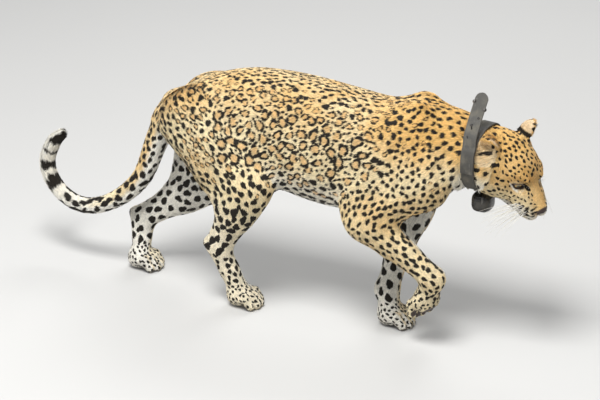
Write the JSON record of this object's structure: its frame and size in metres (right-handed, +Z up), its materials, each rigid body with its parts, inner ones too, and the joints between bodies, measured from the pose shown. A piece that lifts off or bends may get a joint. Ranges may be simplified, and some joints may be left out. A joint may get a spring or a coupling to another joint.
{
  "type": "leopard",
  "caption": "Life-size still model of a male leopard in mid stride, head low, right forepaw lifted, tail curled up at its end, wearing a radio collar with a housing under the throat",
  "frame": {"origin": "on the ground, under the middle of the whole animal's bounding box", "axes": "+X forward along the body from tail to nose, +Y to the animal's left, +Z up"},
  "size_m": [1.5644, 0.3026, 0.7191],
  "materials": {
    "fur_tawny": "short tawny coat with black rosettes, paling to cream on the flanks",
    "fur_pale": "short cream to white coat with solid black spots",
    "fur_dark": "black and white banded fur of the tail's end",
    "eye": "wet amber eye with a dark pupil",
    "strap": "weathered grey collar belting, scuffed, with dark worn edges",
    "housing": "black resin housing, slightly glossy and scratched",
    "dark_fitting": "blackened metal",
    "pale_bolt": "dull worn steel"
  },
  "bodies": {
    "root": {"collar_bolt_1": "dark_fitting", "collar_bolt_2": "dark_fitting", "collar_bolt_3": "pale_bolt", "collar_bolt_4": "pale_bolt", "collar_end": "strap", "collar_housing": "housing", "collar_knob_back": "dark_fitting", "collar_knob_front": "dark_fitting", "collar_strap": "strap", "ear_left": "fur_tawny", "ear_right": "fur_tawny", "eye_left": "eye", "eye_right": "eye", "foreleg_left": "fur_pale", "foreleg_right": "fur_pale", "forepaw_left": "fur_pale", "forepaw_right": "fur_pale", "head": "fur_tawny", "hindleg_left": "fur_pale", "hindleg_right": "fur_pale", "hindpaw_left": "fur_pale", "hindpaw_right": "fur_pale", "neck": "fur_tawny", "tail_bend": "fur_pale", "tail_middle": "fur_tawny", "tail_root": "fur_tawny", "tail_tip": "fur_dark", "torso": "fur_tawny"}
  },
  "joints": []
}
